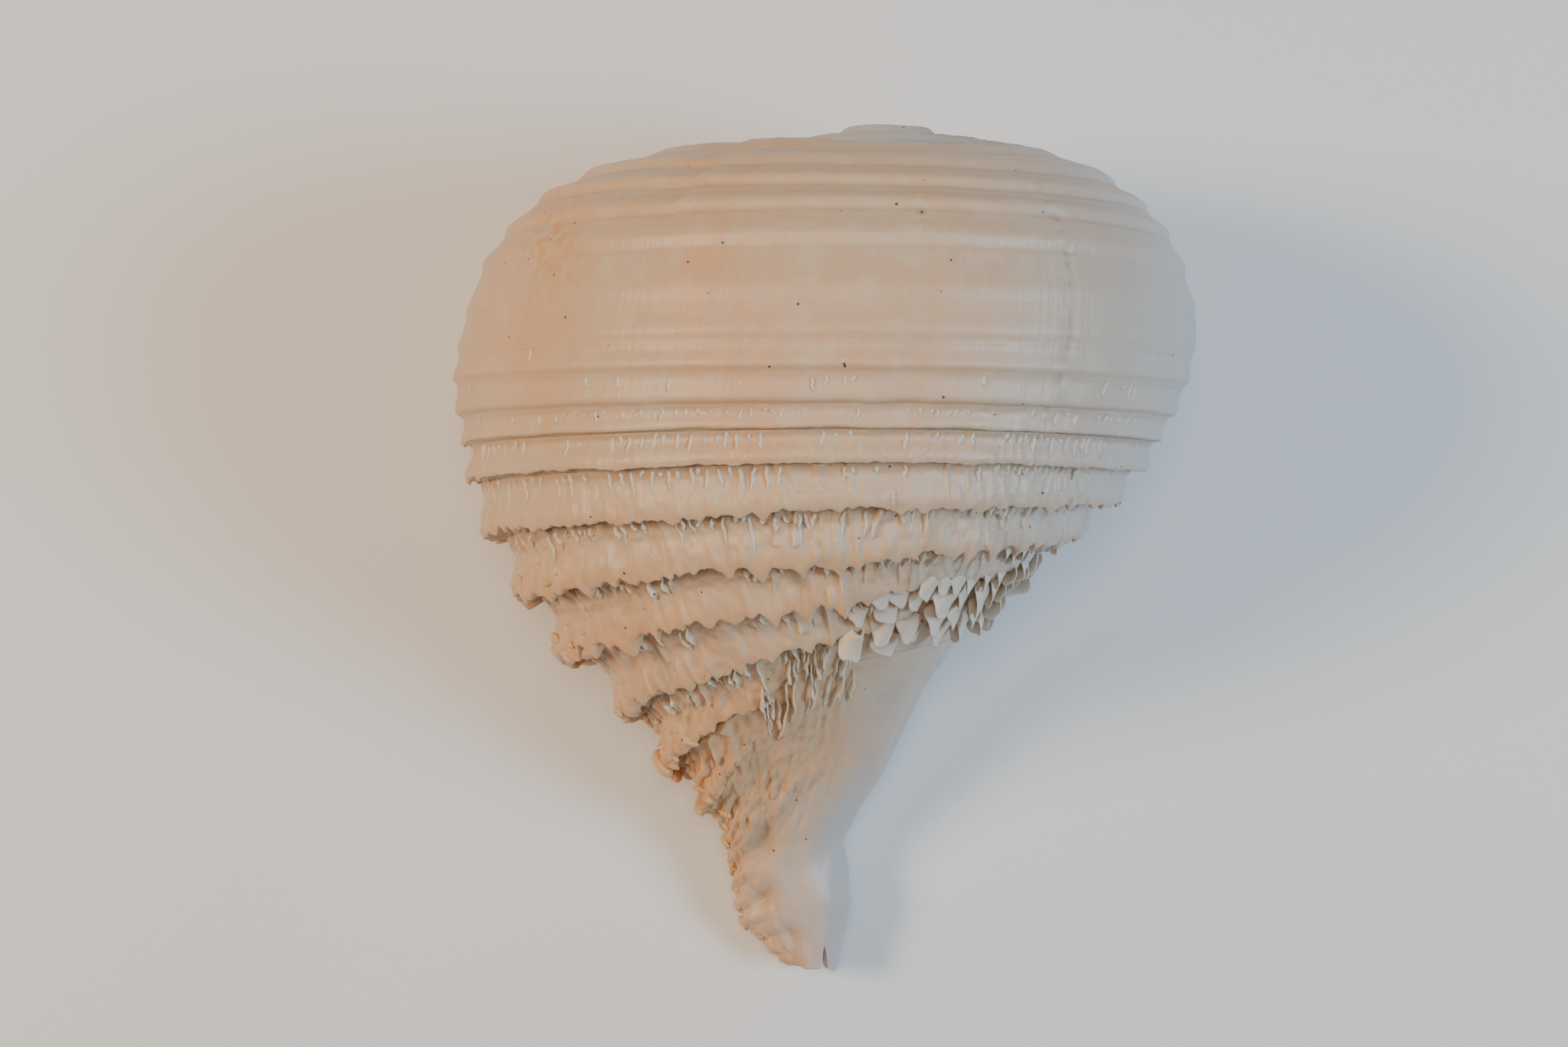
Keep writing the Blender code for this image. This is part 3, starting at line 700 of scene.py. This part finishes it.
def shell_finish(colours):
    """Dry porcellaneous aragonite: ivory warmth, fine growth lines and a satin, slightly clear skin, with
    painted shade in the hollows and painted warm and cool light on the sides.
    """
    material = bpy.data.materials.new("porcellaneous_aragonite")
    material.use_nodes = True
    tree = material.node_tree
    surface = tree.nodes["Principled BSDF"]
    place = node(tree, "ShaderNodeTexCoord", (-1800, 0))
    turn, line = mask(tree, "turn", (-1800, -300)), mask(tree, "line", (-1800, -500))
    lengthwise = node(tree, "ShaderNodeCombineXYZ", (-1600, -400))
    link(tree, turn, "Fac", lengthwise, "X")
    link(tree, line, "Fac", lengthwise, "Y")
    stretch = node(tree, "ShaderNodeVectorMath", (-1420, -400), operation="MULTIPLY")
    stretch.inputs[1].default_value = (0.9, 0.20, 1)
    link(tree, lengthwise, "Vector", stretch, 0)
    growth = node(tree, "ShaderNodeTexNoise", (-1240, -400))
    growth.inputs["Scale"].default_value = 1.0
    growth.inputs["Detail"].default_value = 4
    growth.inputs["Roughness"].default_value = 0.6
    link(tree, stretch, "Vector", growth, "Vector")
    clouds = noise(tree, place, 11, 3, 0.5, (-1240, 300))
    mottle = noise(tree, place, 2.2, 5, 0.6, (-1240, 60))
    peach = spread(tree, clouds, "Fac", 0.42, 0.68, (-1040, 300), 0.0, 0.75)
    base = blend(tree, peach.outputs[0], colours["ivory"], colours["peach"], (-840, 300))
    pale = spread(tree, mottle, "Fac", 0.5, 0.75, (-1040, 60), 0.0, 0.45)
    base = blend(tree, pale.outputs[0], base.outputs[2], colours["pale"], (-660, 300))
    streak = spread(tree, growth, "Fac", 0.45, 0.72, (-1040, -400), 0.0, 0.35)
    wide = node(tree, "ShaderNodeVectorMath", (-1420, -760), operation="MULTIPLY")
    wide.inputs[1].default_value = (0.16, 0.05, 1)
    link(tree, lengthwise, "Vector", wide, 0)
    bands = node(tree, "ShaderNodeTexNoise", (-1240, -760))
    bands.inputs["Scale"].default_value = 1.0
    bands.inputs["Detail"].default_value = 5
    bands.inputs["Roughness"].default_value = 0.65
    link(tree, wide, "Vector", bands, "Vector")
    warm_band = spread(tree, bands, "Fac", 0.5, 0.68, (-1040, -760), 0.0, 0.5)
    base = blend(tree, warm_band.outputs[0], base.outputs[2], colours["peach"], (-560, 480))
    # The neck's left above the tip takes the warm crest colour: partly the shell's own peach, partly painted
    # warm light from the left lamp.
    left = spread(tree, turn, "Fac", 70, 128, (-1040, -1240), 0.0, 0.55)
    neck = spread(tree, line, "Fac", 13.6, 15.0, (-1040, -1420))
    tip = spread(tree, line, "Fac", 17.2, 18.6, (-1040, -1780), 1.0, 0.3)
    above_tip = times(tree, (neck, 0), (tip, 0), (-840, -1500))
    peach_and_warm_light = times(tree, (left, 0), (above_tip, 0), (-660, -1300))
    base = blend(tree, peach_and_warm_light.outputs[0], base.outputs[2], colours["crest"], (-380, 480))
    # Painted cool light: the right of the back is tinted greyish blue, as the cool fill lamp from the right
    # would make it.
    right = spread(tree, turn, "Fac", 84, 24, (-1040, -1600), 0.0, 0.7)
    base = blend(tree, right.outputs[0], base.outputs[2], colours["cool"], (-380, 640))
    # Painted cool light too: the canal's end is greyer and cooler towards the right.
    end = spread(tree, line, "Fac", 16.8, 18.4, (-1040, -1960), 0.0, 0.55)
    less = spread(tree, turn, "Fac", 150, 90, (-1040, -2140), 0.15, 1.0)
    painted_cool_end = times(tree, (end, 0), (less, 0), (-840, -2040))
    base = blend(tree, painted_cool_end.outputs[0], base.outputs[2], colours["cool"], (-380, 800))
    body = spread(tree, line, "Fac", 13.0, 15.0, (-1040, -240), 1.0, 0.12)
    streak = times(tree, (streak, 0), (body, 0), (-900, -330))
    base = blend(tree, streak.outputs[0], base.outputs[2], colours["grey"], (-480, 300))
    crest = spread(tree, mask(tree, "crest", (-1040, -640)), "Fac", 0.55, 1.0, (-840, -640), 0.0, 0.5)
    low = spread(tree, line, "Fac", 9.5, 12.5, (-840, -500))
    warm = times(tree, (crest, 0), (low, 0), (-660, -560))
    base = blend(tree, warm.outputs[0], base.outputs[2], colours["crest"], (-300, 300))
    # Painted shade: the brown shade colour laid under the crests and in the grooves, pits, cracks and scale
    # hollows.
    shade_strength = spread(tree, mask(tree, "hollow", (-1040, -860)), "Fac", 0.35, 1.0, (-840, -860), 0.0, 0.5)
    base = blend(tree, shade_strength.outputs[0], base.outputs[2], colours["hollow"], (-120, 300))
    white = spread(tree, mask(tree, "frill", (-1040, -1060)), "Fac", 0.15, 0.7, (-840, -1060), 0.0, 0.8)
    base = blend(tree, white.outputs[0], base.outputs[2], colours["frill"], (60, 300))
    stained = stain(tree, place, base, colours["stain"])
    speckled = specks(tree, place, stained, colours["speck"])
    link(tree, speckled, 2, surface, "Base Color")
    roughness = spread(tree, mottle, "Fac", 0.3, 0.7, (300, 0), 0.36, 0.52)
    link(tree, roughness, 0, surface, "Roughness")
    surface.inputs["Subsurface Weight"].default_value = 0.22
    surface.inputs["Subsurface Radius"].default_value = (1.0, 0.62, 0.42)
    surface.inputs["Subsurface Scale"].default_value = 0.0016
    surface.inputs["Specular IOR Level"].default_value = 0.5
    fine = noise(tree, place, 0.45, 4, 0.6, (-300, -400))
    first = node(tree, "ShaderNodeBump", (100, -400))
    first.inputs["Strength"].default_value = 0.35
    first.inputs["Distance"].default_value = 0.00008
    link(tree, fine, "Fac", first, "Height")
    second = node(tree, "ShaderNodeBump", (300, -400))
    second.inputs["Strength"].default_value = 0.55
    second.inputs["Distance"].default_value = 0.00016
    fade = times(tree, (growth, "Fac"), (body, 0), (100, -620))
    link(tree, fade, 0, second, "Height")
    link(tree, first, "Normal", second, "Normal")
    link(tree, second, "Normal", surface, "Normal")
    return material


def stain(tree, place, base, colour):
    """An ochre stain on the upper left of the back."""
    centre = Vector((STAIN[0] - ORIGIN[0], STAIN[1] - ORIGIN[1], 0)) * MM
    shift = node(tree, "ShaderNodeMapping", (-600, 760))
    shift.inputs["Location"].default_value = tuple(-centre)
    link(tree, place, "Object", shift, "Vector")
    squeeze = node(tree, "ShaderNodeVectorMath", (-420, 760), operation="MULTIPLY")
    squeeze.inputs[1].default_value = (1 / (4.2 * MM), 1 / (8.5 * MM), 0)
    link(tree, shift, "Vector", squeeze, 0)
    far = node(tree, "ShaderNodeVectorMath", (-240, 760), operation="LENGTH")
    link(tree, squeeze, "Vector", far, 0)
    near = spread(tree, far, "Value", 0.2, 1.15, (-60, 760), 1.0, 0.0)
    grit = noise(tree, place, 1.1, 6, 0.7, (-240, 560))
    rough = spread(tree, grit, "Fac", 0.44, 0.60, (-60, 560), 0.15, 0.8)
    both = times(tree, (near, 0), (rough, 0), (120, 700))
    return blend(tree, both.outputs[0], base.outputs[2], colour, (240, 300))


def specks(tree, place, base, colour):
    """Tiny dark specks of grit, scattered over the shell."""
    dots = node(tree, "ShaderNodeTexVoronoi", (240, 760))
    dots.inputs["Scale"].default_value = 1 / (1.9 * MM)
    link(tree, place, "Object", dots, "Vector")
    tiny = spread(tree, dots, "Distance", 0.045, 0.07, (420, 760), 1.0, 0.0)
    pick = node(tree, "ShaderNodeSeparateColor", (420, 560))
    link(tree, dots, "Color", pick, "Color")
    some = spread(tree, pick, "Red", 0.40, 0.42, (600, 560))
    both = times(tree, (tiny, 0), (some, 0), (700, 700))
    return blend(tree, both.outputs[0], base.outputs[2], colour, (420, 300))


class ShellSizes(bpy.types.PropertyGroup):
    """Sizes of the fine work."""

    wall: FloatProperty(name="Wall", description="Thickness of the wall", default=0.00125, unit="LENGTH")
    scale: FloatProperty(name="Scale", description="Length of a vaulted scale", default=0.0024, unit="LENGTH")
    across: IntProperty(name="Steps around", description="Grid steps from the right to the lip", default=1000)
    floor: FloatProperty(name="Floor", description="Width of the floor", default=1.6, unit="LENGTH")


class ShellColours(bpy.types.PropertyGroup):
    """Colours of the dry shell."""

    def colour(name, description, code):
        return FloatVectorProperty(name=name, description=description, subtype="COLOR", size=3, min=0, max=1,
                                   default=hex_colour(code))

    ivory: colour("Ivory", "Ground colour of the whorl", "#C9AC8A")
    peach: colour("Peach", "Warm clouds in the ivory", "#D09E72")
    pale: colour("Pale", "Paler mottling", "#D3C2A8")
    grey: colour("Grey", "Greyish growth streaks", "#BFAF9A")
    # Painted cool light: the greyish blue laid on the right of the back and the canal's end, where the cool
    # lamp falls.
    cool: colour("Cool", "Greyish white on the right of the back", "#B7BBBD")
    crest: colour("Crest", "Warm tint on the lower crests", "#D6A06A")
    # Painted shade colour, laid under the crests and in the grooves, pits, cracks and scale hollows.
    hollow: colour("Hollow", "Brownish tint under the crests", "#A27C58")
    frill: colour("Frill", "White growth frills", "#E2D3BC")
    stain: colour("Stain", "Ochre stain", "#C98E42")
    speck: colour("Speck", "Dark grit", "#4A3A30")
    floor: colour("Floor", "Studio floor", "#E6E4DF")


def shared_finish():
    """The shell's one material, made once."""
    found = bpy.data.materials.get("porcellaneous_aragonite")
    if found:
        return found
    group = bpy.context.scene.shell_colours
    return shell_finish({name: tuple(getattr(group, name)) for name in ShellColours.__annotations__})


class MESH_OT_outer_whorl(bpy.types.Operator):
    """Adds the smooth upper part of the last whorl"""

    bl_idname = "mesh.rapa_outer_whorl"
    bl_label = "Outer Whorl"

    def execute(self, context):
        sizes = context.scene.shell_sizes
        belt = wall_belt(0.05, 9.0, 200, 240, sizes.wall / MM)
        new_piece(belt, "outer_whorl", shared_finish())
        return {"FINISHED"}


class MESH_OT_ribbed_belts(bpy.types.Operator):
    """Adds the ribbed and frilled belts below the shoulder, down to the base"""

    bl_idname = "mesh.rapa_ribbed_belts"
    bl_label = "Ribbed Belts"

    def execute(self, context):
        sizes = context.scene.shell_sizes
        belts = (("upper_belt", 9.0, 10.0), ("middle_belt", 10.0, 11.0), ("lower_belt", 11.0, 12.0),
                 ("scaly_belt", 12.0, 13.0), ("base_belt", 13.0, 14.0), ("last_belt", 14.0, 15.0))
        for name, first, last in belts:
            new_piece(wall_belt(first, last, sizes.across, 43, sizes.wall / MM), name, shared_finish())
        return {"FINISHED"}


class MESH_OT_canal(bpy.types.Operator):
    """Adds the neck and the curved canal"""

    bl_idname = "mesh.rapa_canal"
    bl_label = "Canal"

    def execute(self, context):
        belt = wall_belt(15.0, LAST - 0.02, 230, 200, context.scene.shell_sizes.wall / MM)
        new_piece(belt, "canal", shared_finish())
        return {"FINISHED"}


class MESH_OT_inner_whorls(bpy.types.Operator):
    """Adds the inner whorls, with the bulge that the shell rests on and the low spire"""

    bl_idname = "mesh.rapa_inner_whorls"
    bl_label = "Inner Whorls"

    def execute(self, context):
        new_piece(inner_whorls(420, 230), "inner_whorls", shared_finish())
        new_piece(pillar(96, 90), "pillar", shared_finish())
        return {"FINISHED"}


class MESH_OT_vaulted_scales(bpy.types.Operator):
    """Adds the rows of vaulted scales low on the right"""

    bl_idname = "mesh.rapa_vaulted_scales"
    bl_label = "Vaulted Scales"

    def execute(self, context):
        new_piece(vaulted_scales(context.scene.shell_sizes.scale / MM), "vaulted_scales", shared_finish())
        return {"FINISHED"}


class MESH_OT_growth_frills(bpy.types.Operator):
    """Adds the thin growth frills between the cords"""

    bl_idname = "mesh.rapa_growth_frills"
    bl_label = "Growth Frills"

    def execute(self, context):
        new_piece(growth_frills(), "growth_frills", shared_finish())
        new_piece(margin_knobs(), "margin_knobs", shared_finish())
        return {"FINISHED"}


class SCENE_OT_studio(bpy.types.Operator):
    """Adds the floor, the soft lights and the camera over the back"""

    bl_idname = "scene.rapa_studio"
    bl_label = "Studio"

    def execute(self, context):
        add_floor(context.scene.shell_sizes.floor, tuple(context.scene.shell_colours.floor))
        add_lights()
        add_camera()
        return {"FINISHED"}


def add_floor(width, colour):
    """A pale matt floor under the shell."""
    deselect()
    bpy.ops.mesh.primitive_plane_add(size=width, location=(0, 0, 0))
    floor = bpy.context.object
    floor.name = "floor"
    paint = bpy.data.materials.new("matt_floor")
    paint.use_nodes = True
    surface = paint.node_tree.nodes["Principled BSDF"]
    surface.inputs["Base Color"].default_value = (*colour, 1)
    surface.inputs["Roughness"].default_value = 0.9
    floor.data.materials.append(paint)


def add_area(name, place, size, power, colour):
    """A soft lamp that faces the shell."""
    data = bpy.data.lights.new(name, "AREA")
    data.shape = "DISK"
    data.size, data.energy, data.color = size, power, colour
    lamp = bpy.data.objects.new(name, data)
    lamp.location = place
    lamp.rotation_euler = (Vector((0, 0, 0.02)) - Vector(place)).to_track_quat("-Z", "Y").to_euler()
    bpy.context.scene.collection.objects.link(lamp)


def add_lights():
    """Warm soft light from the left, cool fill from the right, a little from above, and a dim sky."""
    add_area("warm_key", (-0.36, 0.06, 0.36), 0.16, 2.1, (1.0, 0.75, 0.52))
    add_area("top_light", (0.0, 0.06, 0.50), 0.14, 0.7, (1.0, 0.90, 0.80))
    add_area("cool_fill", (0.38, -0.02, 0.36), 0.20, 2.2, (0.48, 0.72, 1.0))
    world = bpy.data.worlds.new("studio")
    world.use_nodes = True
    sky = world.node_tree.nodes["Background"]
    sky.inputs["Color"].default_value = (1, 1, 1, 1)
    sky.inputs["Strength"].default_value = 0.10
    bpy.context.scene.world = world


def add_camera():
    """A camera straight above the back, as far up as the perspective of the ribs says."""
    data = bpy.data.cameras.new("camera")
    data.lens = SENSOR_WIDTH * SIGHT / FRAME_WIDTH
    data.sensor_width = SENSOR_WIDTH
    data.clip_start = 0.01
    camera = bpy.data.objects.new("camera", data)
    camera.location = Vector(np.array([SIGHT_X, SIGHT_Y, SIGHT]) - ORIGIN) * MM
    bpy.context.scene.collection.objects.link(camera)
    bpy.context.scene.camera = camera


STEPS = (MESH_OT_outer_whorl, MESH_OT_ribbed_belts, MESH_OT_canal, MESH_OT_inner_whorls,
         MESH_OT_vaulted_scales, MESH_OT_growth_frills, SCENE_OT_studio)


class VIEW3D_PT_rapa(bpy.types.Panel):
    """Lists the steps that build the shell"""

    bl_idname = "VIEW3D_PT_rapa"
    bl_label = "Papery Rapa Shell"
    bl_space_type = "VIEW_3D"
    bl_region_type = "UI"
    bl_category = "Shell"

    def draw(self, context):
        for group in (context.scene.shell_sizes, context.scene.shell_colours):
            for name in type(group).__annotations__:
                self.layout.prop(group, name)
        for step in STEPS:
            self.layout.operator(step.bl_idname)


CLASSES = (ShellSizes, ShellColours, *STEPS, VIEW3D_PT_rapa)


def register():
    """Registers the classes and gives the scene its two property groups."""
    for one in CLASSES:
        bpy.utils.register_class(one)
    bpy.types.Scene.shell_sizes = PointerProperty(type=ShellSizes)
    bpy.types.Scene.shell_colours = PointerProperty(type=ShellColours)


def unregister():
    """Takes the property groups and classes away again."""
    del bpy.types.Scene.shell_colours
    del bpy.types.Scene.shell_sizes
    for one in reversed(CLASSES):
        bpy.utils.unregister_class(one)


def main():
    """Builds the shell and its studio."""
    register()
    bpy.ops.mesh.rapa_outer_whorl()
    bpy.ops.mesh.rapa_ribbed_belts()
    bpy.ops.mesh.rapa_canal()
    bpy.ops.mesh.rapa_inner_whorls()
    bpy.ops.mesh.rapa_vaulted_scales()
    bpy.ops.mesh.rapa_growth_frills()
    bpy.ops.scene.rapa_studio()


if __name__ == "__main__":
    main()
